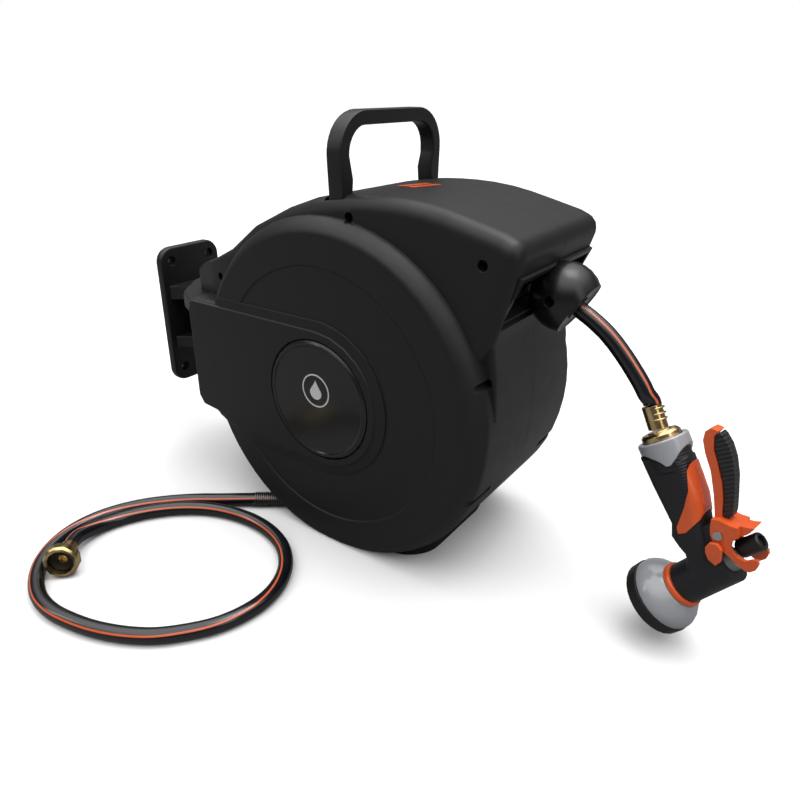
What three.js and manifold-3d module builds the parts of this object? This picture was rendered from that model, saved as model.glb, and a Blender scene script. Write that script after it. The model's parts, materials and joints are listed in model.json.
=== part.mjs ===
// Retractable garden hose reel: swivelling wall bracket, spring-driven spool in a two-part case,
// outlet with guide rollers and ball stop, spray nozzle, and a lead-in hose with a swivel nut.
// Millimetres, +Z up, +X towards the outlet, the spool turns about Y.
import * as THREE from 'three';
import { mergeVertices } from 'three/addons/utils/BufferGeometryUtils.js';
import Module from 'manifold-3d';

const wasm = await Module();
wasm.setup();

// ---- driving dimensions -------------------------------------------------------------------
const gap = 0.3;              // clearance between touching pieces
const axisX = 71.85;          // spool axis, from the middle of the whole reel
const axisHeight = 178.5;     // spool axis above the floor
const floorZ = -axisHeight;   // the floor, measured from the spool axis
const wall = 5;               // case wall

const drumRadius = 190;       // outside of the round case
const drumHalf = 88;          // where the barrel ends and the rounded rim begins
const faceRadius = 173;       // flat side of the case
const faceY = 108.3;          // side face from the middle
const recessRadius = 142;     // inner step of the side face
const hubRadius = 66.5;       // round hub cap
const hubX = -2;
const armY = 112.6;           // face of the raised arm
const armHalf = 72;           // half height of the arm

const hoodRound = 15;         // rounding of the hood's edges

const footFront = 112;
const footBack = -100;
const footHalf = 84;

const pivotX = -262;          // bracket's swivel axis
const plateX = -337;          // front of the bracket plate
const plateThick = 13;
const plateHalf = 49;
const plateTop = 103;
const plateBottom = -91;
const pinRadius = 5;

const spoolHalf = 56;         // half width between the spool flanges
const spoolRadius = 165;
const coreRadius = 62;
const windingRadius = 134;
const hoseRadius = 8;

const ballRadius = 33;
const ballAt = [212.3, 0, 125.3];
const ballTilt = THREE.MathUtils.degToRad(32);   // hose direction below level at the ball

// ---- small helpers ------------------------------------------------------------------------
const V = (x, y, z) => new THREE.Vector3(x, y, z);

function toSolid(geometry) {
  const plain = geometry.index ? geometry.toNonIndexed() : geometry.clone();
  plain.deleteAttribute('normal');
  plain.deleteAttribute('uv');
  const merged = mergeVertices(plain, 1e-4);
  const solid = new wasm.Manifold(new wasm.Mesh({
    numProp: 3,
    vertProperties: new Float32Array(merged.attributes.position.array),
    triVerts: new Uint32Array(merged.index.array),
  }));
  return solid;
}

function toGeometry(solid) {
  const mesh = solid.getMesh();
  const geometry = new THREE.BufferGeometry();
  geometry.setAttribute('position', new THREE.BufferAttribute(new Float32Array(mesh.vertProperties), 3));
  geometry.setIndex(new THREE.BufferAttribute(new Uint32Array(mesh.triVerts), 1));
  geometry.computeVertexNormals();
  return geometry;
}

const join = (...parts) => parts.map((p) => (p.isBufferGeometry ? toSolid(p) : p)).reduce((a, b) => a.add(b));

function cut(body, ...tools) {
  const start = body.isBufferGeometry ? toSolid(body) : body;
  return tools.map((t) => (t.isBufferGeometry ? toSolid(t) : t)).reduce((a, b) => a.subtract(b), start);
}

function common(a, b) {
  return (a.isBufferGeometry ? toSolid(a) : a).intersect(b.isBufferGeometry ? toSolid(b) : b);
}

function boxBetween(low, high) {
  const size = high.map((v, i) => v - low[i]);
  const box = new THREE.BoxGeometry(...size);
  return box.translate(...low.map((v, i) => v + size[i] / 2));
}

// a round bar from one point to another
function rod(from, to, radius, sides = 20) {
  const a = V(...from);
  const b = V(...to);
  const along = b.clone().sub(a);
  const geometry = new THREE.CylinderGeometry(radius, radius, along.length(), sides);
  const turn = new THREE.Quaternion().setFromUnitVectors(V(0, 1, 0), along.clone().normalize());
  geometry.applyQuaternion(turn);
  return geometry.translate(...a.add(b).multiplyScalar(0.5).toArray());
}

// a shape turned about an axis; profile is [radius, distance along the axis]
function turned(profile, sides, from = [0, 0, 0], direction = [0, 1, 0]) {
  const geometry = new THREE.LatheGeometry(profile.map((p) => new THREE.Vector2(...p)), sides);
  const turn = new THREE.Quaternion().setFromUnitVectors(V(0, 1, 0), V(...direction).normalize());
  geometry.applyQuaternion(turn);
  return geometry.translate(...from);
}

function outline(points, curved = false) {
  if (!curved) return new THREE.Shape(points.map((p) => new THREE.Vector2(...p)));
  const shape = new THREE.Shape();
  shape.moveTo(...points[0]);
  shape.splineThru(points.slice(1).map((p) => new THREE.Vector2(...p)));
  return shape;
}

function roundedRect(x0, y0, x1, y1, r) {
  const shape = new THREE.Shape();
  shape.moveTo(x0 + r, y0);
  shape.lineTo(x1 - r, y0);
  shape.absarc(x1 - r, y0 + r, r, -Math.PI / 2, 0, false);
  shape.lineTo(x1, y1 - r);
  shape.absarc(x1 - r, y1 - r, r, 0, Math.PI / 2, false);
  shape.lineTo(x0 + r, y1);
  shape.absarc(x0 + r, y1 - r, r, Math.PI / 2, Math.PI, false);
  shape.lineTo(x0, y0 + r);
  shape.absarc(x0 + r, y0 + r, r, Math.PI, Math.PI * 1.5, false);
  return shape;
}

// an outline in X and Z, made thick along Y between y0 and y1; the rounding grows past the outline
function thickY(shape, y0, y1, round = 0, deep = round, steps = 2, curve = 6) {
  const geometry = new THREE.ExtrudeGeometry(shape, {
    depth: y1 - y0 - 2 * deep,
    bevelEnabled: round !== 0,
    bevelSize: round,
    bevelThickness: deep,
    bevelSegments: steps,
    curveSegments: curve,
  });
  geometry.rotateX(Math.PI / 2);
  return geometry.translate(0, y1 - deep, 0);
}

// an outline in X and Y, made thick along Z between z0 and z1
function thickZ(shape, z0, z1, round = 0, curve = 6) {
  const geometry = new THREE.ExtrudeGeometry(shape, {
    depth: z1 - z0 - 2 * round,
    bevelEnabled: round > 0,
    bevelSize: round,
    bevelThickness: round,
    bevelSegments: 2,
    bevelOffset: -round,
    curveSegments: curve,
  });
  return geometry.translate(0, 0, z0 + round);
}

// an outline in Y and Z, made thick along X between x0 and x1
function thickX(shape, x0, x1, round = 0, curve = 6) {
  const geometry = new THREE.ExtrudeGeometry(shape, {
    depth: x1 - x0 - 2 * round,
    bevelEnabled: round > 0,
    bevelSize: round,
    bevelThickness: round,
    bevelSegments: 2,
    bevelOffset: -round,
    curveSegments: curve,
  });
  geometry.applyMatrix4(new THREE.Matrix4().makeBasis(V(0, 1, 0), V(0, 0, 1), V(1, 0, 0)));
  return geometry.translate(x0 + round, 0, 0);
}

// a hose, as a round section swept along hand-placed points
function hose(points, radius, steps, sides = 10) {
  const section = new THREE.Shape();
  section.absarc(0, 0, radius, 0, Math.PI * 2, false);
  return new THREE.ExtrudeGeometry(section, {
    steps,
    curveSegments: sides / 2,
    bevelEnabled: false,
    extrudePath: new THREE.CatmullRomCurve3(points.map((p) => V(...p)), false, 'centripetal'),
  });
}

const finishes = {
  shell: { color: 0x2f3032, roughness: 0.55, metalness: 0 },
  cap: { color: 0x141516, roughness: 0.3, metalness: 0 },
  black: { color: 0x1a1b1c, roughness: 0.5, metalness: 0 },
  rubber: { color: 0x1c1d20, roughness: 0.75, metalness: 0 },
  hoseSkin: { color: 0x15171c, roughness: 0.25, metalness: 0 },
  steel: { color: 0xb6b8ba, roughness: 0.35, metalness: 1 },
  spring: { color: 0x77797c, roughness: 0.4, metalness: 1 },
  brass: { color: 0xc9a455, roughness: 0.3, metalness: 1 },
  orange: { color: 0xd9542b, roughness: 0.4, metalness: 0 },
  grey: { color: 0xa9abb0, roughness: 0.4, metalness: 0 },
  inner: { color: 0x8a8c8f, roughness: 0.6, metalness: 0 },
};

function part(name, shape, finish, parent) {
  const geometry = shape.isBufferGeometry ? shape : toGeometry(shape);
  const mesh = new THREE.Mesh(geometry, new THREE.MeshStandardMaterial(finishes[finish]));
  mesh.name = name;
  parent.add(mesh);
  return mesh;
}

const group = new THREE.Group();
const reel = new THREE.Group();               // everything is placed from the spool axis
reel.position.set(axisX, 0, axisHeight);
group.add(reel);

// ---- outlet line: the hose leaves between the rollers and turns down inside the ball ---------
const hoseOut = [Math.cos(ballTilt), 0, -Math.sin(ballTilt)];
const ballPoint = (along, side, up) => [
  ballAt[0] + along * hoseOut[0] + up * Math.sin(ballTilt),
  side,
  ballAt[2] + along * hoseOut[2] + up * Math.cos(ballTilt),
];
const ballCut = 17.5;         // flat face where the hose leaves
const ballSeat = () => new THREE.SphereGeometry(ballRadius + 0.5, 24, 16).translate(...ballAt);
const innerHose = [
  [4, 0, windingRadius + hoseRadius + 0.6], [60, 0, 146], [110, 0, 150], [142, 0, 150.5], [163, 0, 146.2],
  [178.8, 0, 139.7], [195, 0, 132.6], ballPoint(0, 0, 0), ballPoint(9, 0, 0), ballPoint(ballCut - 0.2, 0, 0),
];

// ---- case ---------------------------------------------------------------------------------
const hoodTop = [
  [-222.5, 74], [-222.5, 80], [-216, 88], [-201, 97.5], [-176, 107.5], [-143, 124], [-102, 154], [-55, 176],
  [-18, 188.8], [12, 194], [32, 196], [52, 197], [72, 197.2], [92, 196.4], [111, 194.4], [129, 191.2],
  [148, 186.8], [165.5, 182.6], [183, 178.3],
  [189.9, 175.5], [190.6, 175.1], [191.1, 174.5], [191.25, 173.8], [191.2, 173.1],
];
const hoodFront = [[186.6, 158], [169, 97], [150, 62], [60, 26], [-60, 26], [-150, 46]];

function hoodSolid(room = 0) {
  const whole = thickY(outline([...hoodTop, ...hoodFront]), -90 - room, 90 + room,
    hoodRound + room, hoodRound + room, 4);
  const plan = [[260, -120], [260, 120], [-150, 120], [-150, 90], [-188, 84], [-228, 71], [-238, 58]];
  const back = plan.slice(2).map(([x, y]) => [x, -y]).reverse();
  return common(whole, thickZ(outline([...plan, ...back]), -50, 250));
}

// round case, open inside; the profile is radius and distance from the middle
function drumSolid() {
  const half = [
    [drumRadius, drumHalf], [drumRadius - 1.5, 93.5], [drumRadius - 5.5, 99.5], [drumRadius - 11, 105],
    [faceRadius, faceY], [recessRadius + 1.5, faceY], [recessRadius, faceY - 1.2], [0, faceY - 1.2],
  ];
  const other = half.map(([r, y]) => [r, -y]).reverse();
  return turned([...other, ...half], 60);
}

function armOutline(backX) {
  const shape = new THREE.Shape();
  shape.moveTo(backX + 6, armHalf);
  shape.lineTo(backX, armHalf - 8);
  shape.lineTo(backX + 1, -47);
  shape.lineTo(backX + 7, -56);
  shape.lineTo(backX + 30, -58);
  shape.lineTo(-152, -66);
  shape.lineTo(-130, -armHalf);
  shape.lineTo(hubX, -armHalf - 2);
  shape.absarc(hubX, 0, armHalf + 2, -Math.PI / 2, Math.PI / 2, false);
  shape.lineTo(backX + 6, armHalf);
  return shape;
}

const flangePlan = [[-150, 109], [-204, 109], [-212, 103], [-238, 91], [-247, 83], [-277, 43], [-284, 20]];
const lowerPlan = [[-150, 100], [-200, 96], [-226, 76], [-262, 36], [-280, 18]];
const bothSides = (plan) => outline([...plan, ...plan.map(([x, y]) => [x, -y]).reverse()]);

function rearSolid() {
  const body = thickY(armOutline(-200), -armY + 4, armY - 4, 5, 4.5);
  const flange = thickZ(bothSides(flangePlan), 52, armHalf, 3);
  const lower = thickZ(bothSides(lowerPlan), -56, -40, 2);
  const gussetPlan = [[-150, 107], [-203, 107], [-214, 100], [-232, 88], [-232, 64], [-150, 64]];
  const gussets = [1, -1].map((s) => thickZ(outline(gussetPlan.map(([x, y]) => [x, s * y])), 38, 60, 3));
  return join(body, flange, lower, ...gussets);
}

function armFaces() {
  const plate = new THREE.Shape(armOutline(-150).getPoints(14));
  return [-1, 1].map((side) => {
    const y0 = side < 0 ? -armY : armY - 12;
    return join(thickY(armOutline(-200), y0, y0 + 12, 3, 2.5), thickY(plate, y0 + (side < 0 ? 1.4 : 0),
      y0 + (side < 0 ? 12 : 10.6), 13, 2.6, 1));
  }).reduce((a, b) => a.add(b));
}

// the lead-in hose passes under the rim here, level, towards the back and the near side
const inletStart = [-69, -76.5, -169];
const inletWay = [-0.8, -0.6, 0];
const inletPoint = (far) => inletStart.map((v, i) => v + far * inletWay[i]);

const sideScrews = [[28.5, 190.5], [173, 166], [-169, 101.5]];

// the front wall that carries the outlet frame leans forward
const frameTop = [203, 157];
const frameLow = [182, 110];
const frameHalf = 77;
const lean = Math.atan2(frameTop[0] - frameLow[0], frameTop[1] - frameLow[1]);
const frameTall = Math.hypot(frameTop[0] - frameLow[0], frameTop[1] - frameLow[1]);

// a box in the frame's own axes: out of the wall, across, up the wall
function framed(geometry) {
  geometry.rotateY(lean);
  return geometry.translate(frameLow[0], 0, frameLow[1]);
}

function caseSolid() {
  let outside = join(drumSolid(), hoodSolid(), rearSolid(), armFaces());
  const apron = thickY(outline([[150, 92], [180, 92], [185, 60], [187, 20], [150, 0]].toReversed()), -80, 80, 3);
  outside = outside.add(toSolid(apron));
  outside = cut(outside,
    boxBetween([-150, -130, floorZ - 40], [150, 130, floorZ + 0.8]),
    boxBetween([footBack - 0.4, -footHalf - 0.4, floorZ - 40], [footFront + 0.4, footHalf + 0.4, floorZ + 6.4]));
  const hollow = join(
    turned([[0, -faceY + wall + 1], [drumRadius - 16, -faceY + wall + 1], [drumRadius - wall, -94],
      [drumRadius - wall, 94], [drumRadius - 16, faceY - wall - 1], [0, faceY - wall - 1]], 36),
    thickY(outline([[-195, 66], [-195, -50], [-140, -60], [-140, 66]].toReversed()), -102, 102),
    thickY(outline([[-215, 78], [-215, 84], [-178, 103], [-145, 121], [-104, 151], [-57, 174], [-19, 187],
      [19, 196], [95, 199], [133, 192], [176, 181], [190, 175], [186, 160], [166, 96], [150, 70], [-60, 60],
      [-190, 66]]
      .toReversed()), -66, 66),
  );
  const flat = cut(hollow, boxBetween([-200, -130, floorZ - 40], [200, 130, floorZ + 12]));
  let shell = cut(outside, flat);
  const bosses = sideScrews.map(([x, z]) => rod([x, -84, z], [x, 84, z], 9, 10));
  const inHood = common(join(...bosses), join(hoodSolid(), drumSolid()));
  shell = shell.add(inHood);
  const hubs = [-1, 1].map((s) => rod([0, s * 100, 0], [0, s * 108, 0], 30, 20));
  shell = shell.add(join(...hubs));
  const holes = [];
  for (const [x, z] of sideScrews) {
    holes.push(rod([x, -95, z], [x, -66, z], 5.2, 10));
    holes.push(rod([x, -70, z], [x, 40, z], 2.4, 6));
  }
  for (const s of [-1, 1]) {
    holes.push(rod([hubX, s * (faceY - 1.5), 0], [hubX, s * 120, 0], hubRadius + 1.4, 32));
    holes.push(rod([0, s * 90, 0], [0, s * 120, 0], 14.3, 24));
    for (const [angle, from, to] of [[17.5, 54, 99], [-21, 54, 99], [-62, 58, 99]]) {
      const a = THREE.MathUtils.degToRad(angle);
      const [x, z] = [188.8 * Math.cos(a), 188.8 * Math.sin(a)];
      holes.push(rod([x, s * from, z], [x, s * to, z], 4.2, 8));
    }
  }
  holes.push(rod([pivotX, 0, -80], [pivotX, 0, 100], pinRadius + gap, 16));
  holes.push(framed(boxBetween([-60, -frameHalf - gap, -gap], [40, frameHalf + gap, frameTall + gap])));
  holes.push(rod(inletPoint(-6), inletPoint(60), 10, 16));
  holes.push(rod([-50, -69, -153], inletPoint(2), 9.8, 12));
  holes.push(ballSeat());
  for (const y of [-76, 76]) holes.push(boxBetween([-7, y - 8.5, 202], [18, y + 8.5, 230]));
  return cut(shell, ...holes);
}

const wholeCase = caseSolid();
part('case_left', cut(wholeCase, boxBetween([-400, -gap / 2, -300], [400, 300, 400])), 'shell', reel);
part('case_right', cut(wholeCase, boxBetween([-400, -300, -300], [400, gap / 2, 400])), 'shell', reel);


// ---- foot, handle, hub caps and screws ----------------------------------------------------
const footBlock = thickZ(roundedRect(footBack, -footHalf, footFront, footHalf, 42), floorZ, floorZ + 15, 1.5, 6);
const aboveShell = common(rod([0, -100, 0], [0, 100, 0], drumRadius + gap + 0.2, 60),
  boxBetween([-150, -100, floorZ + 6], [150, 100, 0]));
part('base_foot', cut(footBlock, aboveShell, rod(inletPoint(-12), inletPoint(60), 10, 16),
  rod([-50, -69, -153], inletPoint(2), 9.8, 12)), 'black', reel);

const handleFront = 17;
const handleTop = 284;
const handleHalf = 85.5;
const handleBar = 14;

function handleShape() {
  const shape = new THREE.Shape();
  const bend = 40;
  const inner = bend - handleBar;
  const [top, half] = [handleTop, handleHalf];
  shape.moveTo(-half + 2, 203);
  shape.lineTo(-half, top - bend);
  shape.absarc(-half + bend, top - bend, bend, Math.PI, Math.PI / 2, true);
  shape.lineTo(half - bend, top);
  shape.absarc(half - bend, top - bend, bend, Math.PI / 2, 0, true);
  shape.lineTo(half - 2, 203);
  shape.lineTo(half - 17, 203);
  shape.lineTo(half - 19, 222);
  shape.lineTo(half - handleBar, top - bend - 8);
  shape.absarc(half - bend, top - bend, inner, 0, Math.PI / 2, false);
  shape.lineTo(-half + bend, top - handleBar);
  shape.absarc(-half + bend, top - bend, inner, Math.PI / 2, Math.PI, false);
  shape.lineTo(-half + 19, 222);
  shape.lineTo(-half + 17, 203);
  return shape;
}

const handleLow = [[-handleHalf - 1, -67.3], [67.3, handleHalf + 1]].map(([y0, y1]) =>
  boxBetween([-9, y0, 200], [30, y1, 202.3]));
const grip = cut(thickX(handleShape(), handleFront - 19, handleFront, 2.5, 5), ...handleLow);
const pockets = [-76, 76].map((y) => boxBetween([-6.7, y - 8.2, 195], [17.7, y + 8.2, 214]));
const rest = cut(grip, hoodSolid(0.4), boxBetween([-60, -200, 150], [60, 200, 200]));
const tenons = common(grip, join(...pockets));
part('carry_handle', rest.add(tenons), 'black', reel);

for (const side of [-1, 1]) {
  const cap = turned([[0, -0.6], [60, -0.6], [61.5, 0.6], [64, 0.6], [hubRadius, -1.5], [hubRadius, -5.8],
    [0, -5.8]].toReversed(), 36, [hubX, side * (armY + 1.4), 0], [0, side, 0]);
  part(side < 0 ? 'hub_cap_left' : 'hub_cap_right', cap, 'cap', reel);
}

['top', 'front', 'rear'].forEach((place, i) => {
  const [x, z] = sideScrews[i];
  const head = join(rod([x, -72.5, z], [x, -66.3, z], 4.6, 12), rod([x, -67, z], [x, -10, z], 2, 8));
  part(`case_screw_${place}`, cut(head, boxBetween([x - 3.2, -73, z - 0.6], [x + 3.2, -70.5, z + 0.6])),
    'steel', reel);
});

// ---- outlet frame and guide rollers -------------------------------------------------------
const trim = 5;
const rollerUp = 11;          // roller line from the frame's inner edge
const rollerRadius = 4.5;

function frameSolid() {
  const body = framed(boxBetween([-26, -frameHalf, 0], [2.5, frameHalf, frameTall]));
  const hole = framed(boxBetween([-40, -frameHalf + trim, trim], [10, frameHalf - trim, frameTall - trim]));
  const cheeks = [-1, 1].map((s) => framed(boxBetween([-24, s * 58 - 2, 1], [-6, s * 58 + 2, frameTall - 1])));
  const open = cut(body, hole);
  const inside = common(open.add(join(...cheeks)), framed(boxBetween([-26, -90, 0], [2.5, 90, frameTall])));
  const pins = [];
  for (const up of [rollerUp, frameTall - rollerUp]) pins.push(framed(rod([-15, -63, up], [-15, 63, up], 2.6, 12)));
  return cut(inside, ...pins, ballSeat());
}
part('outlet_frame', frameSolid(), 'black', reel);

function roller(name, from, to, radius, stub) {
  const a = V(...from);
  const b = V(...to);
  const along = b.clone().sub(a).normalize();
  const end = (p, s) => p.clone().addScaledVector(along, s).toArray();
  const body = rod(from, to, radius, 20);
  const shaft = rod(end(a, -stub), end(b, stub), 2, 10);
  return part(name, framed(toGeometry(join(body, shaft))), 'inner', reel);
}
roller('roller_upper', [-15, -54, frameTall - rollerUp], [-15, 54, frameTall - rollerUp], rollerRadius, 7);
roller('roller_lower', [-15, -54, rollerUp], [-15, 54, rollerUp], rollerRadius, 7);

// ---- ball stop ----------------------------------------------------------------------------
const ballStart = Math.acos(ballCut / ballRadius);
const ballProfile = [[0, ballCut], [hoseRadius + 4, ballCut], [hoseRadius + 5, ballCut - 2],
  [ballRadius * Math.sin(ballStart) - 3, ballCut - 1.5]];
for (let i = 0; i <= 9; i += 1) {
  const a = ballStart + (Math.PI - ballStart) * (i / 9);
  ballProfile.push([i === 9 ? 0 : ballRadius * Math.sin(a), ballRadius * Math.cos(a)]);
}
const ballWhole = cut(turned(ballProfile.toReversed(), 24, ballAt, hoseOut),
  hose([...innerHose.slice(4), ballPoint(40, 0, 0)], hoseRadius + 0.6, 12, 12));
const ballScrews = [[-9, -17], [-2, 18]];
const ballHoles = ballScrews.map(([along, up]) => join(
  rod(ballPoint(along, 14, up), ballPoint(along, 40, up), 4.6, 12),
  rod(ballPoint(along, -16, up), ballPoint(along, 15, up), 1.9, 8)));
const clampHole = join(rod(ballPoint(-2.9, -40, 0.9), ballPoint(-2.9, -17, 0.9), 5, 14),
  rod(ballPoint(-2.9, -18, 0.9), ballPoint(-2.9, -6, 0.9), 2.8, 12));
const ballReady = cut(ballWhole, ...ballHoles, clampHole);
part('ball_stop_near', cut(ballReady, boxBetween([100, -gap / 2, 0], [300, 60, 300])), 'rubber', reel);
part('ball_stop_far', cut(ballReady, boxBetween([100, -60, 0], [300, gap / 2, 300])), 'rubber', reel);
ballScrews.forEach(([along, up], i) => {
  const head = rod(ballPoint(along, 14.4, up), ballPoint(along, 18.5, up), 4.1, 12);
  const shank = rod(ballPoint(along, -14, up), ballPoint(along, 15, up), 1.5, 8);
  part(`ball_screw_${i + 1}`, join(head, shank), 'steel', reel);
});
part('ball_clamp_screw', rod(ballPoint(-2.9, -18.5, 0.9), ballPoint(-2.9, -9.4, 0.9), 2.4, 12), 'steel', reel);

// ---- spool and its drive ------------------------------------------------------------------
const ring = (inner, outer, y0, y1, sides = 36) =>
  turned([[inner, y0], [outer, y0], [outer, y1], [inner, y1], [inner, y0]], sides);

const spool = join(
  ring(coreRadius - 4, coreRadius, -spoolHalf - 1, spoolHalf + 1, 28),
  ring(8.4, coreRadius - 1, -spoolHalf - 3, -spoolHalf, 28),
  ring(8.4, 13, -spoolHalf - 1, -18, 14));
part('spool_core', spool, 'inner', reel);
part('spool_flange_left', ring(coreRadius + gap, spoolRadius, -spoolHalf - 3, -spoolHalf, 44), 'inner', reel);
part('spool_flange_right', ring(coreRadius + gap, spoolRadius, spoolHalf, spoolHalf + 3, 44), 'inner', reel);
part('hose_winding', ring(coreRadius + 0.8, windingRadius, -spoolHalf + 0.8, spoolHalf - 0.8, 36), 'hoseSkin', reel);

const axle = join(rod([0, -98, 0], [0, 104, 0], 8, 16), rod([0, 92, 0], [0, 96, 0], 12, 16));
part('main_axle', axle, 'steel', reel);
for (const side of [-1, 1]) {
  const bush = turned([[8.4, -6], [20, -6], [20, -3], [13.9, -3], [13.9, 4.5], [8.4, 4.5], [8.4, -6]], 16,
    [0, side * 99.5 + side * 3, 0], [0, side, 0]);
  part(side < 0 ? 'axle_bush_left' : 'axle_bush_right', bush, 'grey', reel);
}

part('spring_cup', join(ring(50, 53, 0, 52, 28), ring(8.4, 52, 49, 52, 28)), 'steel', reel);
const spiral = [];
for (let i = 0; i <= 64; i += 1) {
  const a = (i / 64) * Math.PI * 2 * 4;
  const r = 14 + 31 * (i / 64);
  spiral.push(V(r * Math.cos(a), 0, r * Math.sin(a)));
}
const strip = new THREE.Shape([[-20, -0.6], [20, -0.6], [20, 0.6], [-20, 0.6]].map((p) => new THREE.Vector2(...p)));
function springSolid() {
  const outer = spiral.map((p) => p.clone().multiplyScalar(1 + 0.6 / p.length()));
  const inner = spiral.map((p) => p.clone().multiplyScalar(1 - 0.6 / p.length())).reverse();
  return thickY(new THREE.Shape([...outer, ...inner].map((p) => new THREE.Vector2(p.x, p.z))), 3, 43);
}
part('power_spring', springSolid(), 'spring', reel);

const teeth = 12;
const ratchetPoints = [];
for (let i = 0; i < teeth; i += 1) {
  const a = (i / teeth) * Math.PI * 2;
  ratchetPoints.push([50 * Math.cos(a), 50 * Math.sin(a)]);
  ratchetPoints.push([42 * Math.cos(a + 0.08), 42 * Math.sin(a + 0.08)]);
}
const ratchet = cut(thickY(outline(ratchetPoints), 62, 69), rod([0, 50, 0], [0, 80, 0], 8.4, 16));
part('ratchet_wheel', join(ratchet, cut(rod([0, 56.4, 0], [0, 63, 0], 20, 16),
  rod([0, 50, 0], [0, 80, 0], 8.4, 16))), 'steel', reel);

const pawlAt = [0, 66];          // X and Z of the pawl's pin
const pawlPlan = [[-6, 62], [4, 60], [7, 66], [3, 71], [-8, 70], [-24, 62], [-33, 45.5], [-29, 44]];
part('pawl', cut(thickY(outline(pawlPlan), 62.5, 68.5), rod([0, 50, 66], [0, 80, 66], 2.4, 12)), 'steel', reel);
part('pawl_pin', join(rod([0, 60, 66], [0, 101.5, 66], 2, 12), rod([0, 70, 66], [0, 74, 66], 5, 12)), 'steel', reel);

// ---- water way ----------------------------------------------------------------------------
part('water_swivel', join(ring(8.3, 15, -80, -64, 24), cut(rod([0, -72, -8], [0, -72, -30], 7, 16),
  rod([0, -120, 0], [0, 0, 0], 8.3, 24))), 'brass', reel);
part('feed_pipe', hose([[0, -72, -30.5], [0, -72, -55], [-4, -72, -90], [-16, -70, -122], [-36, -69, -143],
  [-54, -69.6, -158], [-65.6, -74.2, -167.6]], 5.5, 18, 10), 'hoseSkin', reel);

part('inlet_gland', turned([[0, 0], [9.4, 0], [9.4, 16], [8.9, 19], [0, 19]], 16, inletPoint(0.6), inletWay),
  'black', reel);

// ---- lead-in hose on the floor ------------------------------------------------------------
const floorHose = floorZ + hoseRadius + 0.2;
const guardLength = 40;
const guardProfile = [[hoseRadius + 0.6, 0]];
for (let i = 0; i < 8; i += 1) {
  const y = (i / 8) * guardLength;
  guardProfile.push([hoseRadius + 1.4, y], [hoseRadius + 1.4, y + 3.4], [hoseRadius + 1, y + 3.8]);
}
guardProfile.push([hoseRadius + 1.4, guardLength], [hoseRadius + 0.6, guardLength], [hoseRadius + 0.6, 0]);
part('guard_spring', turned(guardProfile, 12, inletPoint(20), inletWay), 'spring', reel);

const nutWay = V(0.69, -0.71, 0.1).normalize().toArray();
const nutPoint = (far) => [-202.6, -305.4, floorHose + 8.4].map((v, i) => v + far * nutWay[i]);

const leadIn = [
  inletPoint(20), inletPoint(40), inletPoint(60.5), [-150, -136, floorHose], [-176, -156, floorHose],
  [-199, -178, floorHose], [-218, -201, floorHose], [-232, -226, floorHose], [-240, -253, floorHose],
  [-240, -282, floorHose], [-230, -311, floorHose], [-212, -335, floorHose], [-187, -353, floorHose],
  [-160, -363, floorHose], [-133, -365, floorHose], [-106, -361, floorHose], [-77, -353, floorHose],
  [-48, -340, floorHose], [-24, -324, floorHose], [-5, -304, floorHose], [11, -281, floorHose],
  [20, -257, floorHose], [23, -231, floorHose], [18, -205, floorHose], [4, -180, floorHose],
  [-20, -159, floorHose], [-49, -147, floorHose], [-82, -143, floorHose], [-115, -147, floorHose],
  [-146, -158, floorHose], [-172, -175, floorHose], [-193, -196, floorHose], [-209, -220, floorHose],
  [-219, -246, floorHose + 0.5], [-220.5, -269, floorHose + 3], [-216, -288, floorHose + 6],
  nutPoint(-9), nutPoint(0),
];
part('lead_in_hose', hose(leadIn, hoseRadius, 68), 'hoseSkin', reel);

part('lead_in_ferrule', turned([[0, 0.4], [9.2, 0.4], [9.2, 15], [0, 15]], 20, nutPoint(0), nutWay), 'brass', reel);
const nutRadius = 18.6;
const nutStart = 15.6;
part('lead_in_tail', cut(turned([[0, 0], [7, 0], [7, 5], [11.5, 5], [11.5, 7.5], [0, 7.5]], 20,
  nutPoint(nutStart), nutWay), rod(nutPoint(nutStart - 1), nutPoint(nutStart + 9), 4.5, 16)), 'brass', reel);
const swivelNut = turned([[7.4, 0], [12.5, 0], [12.5, 3], [nutRadius - 0.8, 4], [nutRadius, 6], [nutRadius, 14],
  [16.5, 16.5], [13.4, 16.5], [13.4, 4.6], [7.4, 4.6], [7.4, 0]], 12, nutPoint(nutStart + 0.3), nutWay);
part('swivel_nut', swivelNut, 'brass', reel);
part('nut_washer', turned([[6, 0], [12.6, 0], [12.6, 2.6], [6, 2.6], [6, 0]], 20, nutPoint(nutStart + 8), nutWay),
  'rubber', reel);

// ---- hose from the winding to the nozzle --------------------------------------------------
part('inner_hose', hose(innerHose, hoseRadius, 20), 'hoseSkin', reel);
const outHose = [
  ballPoint(ballCut + 0.2, 0, 0), ballPoint(ballCut + 4.5, 0, 0), [238, -0.3, 110.1], [246, -0.9, 105.5],
  [254.6, -1.6, 99.9], [263, -2.3, 93.1], [270.6, -3, 86], [277.6, -3.8, 79], [284, -4.5, 72],
  [290, -5.2, 65.2], [295.4, -5.9, 58.6], [299.9, -6.4, 52.2],
];

// ---- spray nozzle, in its own upright frame ----------------------------------------------
const nozzle = new THREE.Group();
nozzle.position.set(318.8, -10.7, 19.4);
nozzle.rotation.set(...[-6.7, -15.8, -9.9].map(THREE.MathUtils.degToRad));
reel.add(nozzle);
const nozzleSize = 0.96;       // the outlines below are drawn four per cent large
const small = (shape) => (shape.isBufferGeometry ? toGeometry(toSolid(shape)) : toGeometry(shape))
  .scale(nozzleSize, nozzleSize, nozzleSize);
const nozzlePart = (name, shape, finish, parent = nozzle) => part(name, small(shape), finish, parent);

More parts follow.
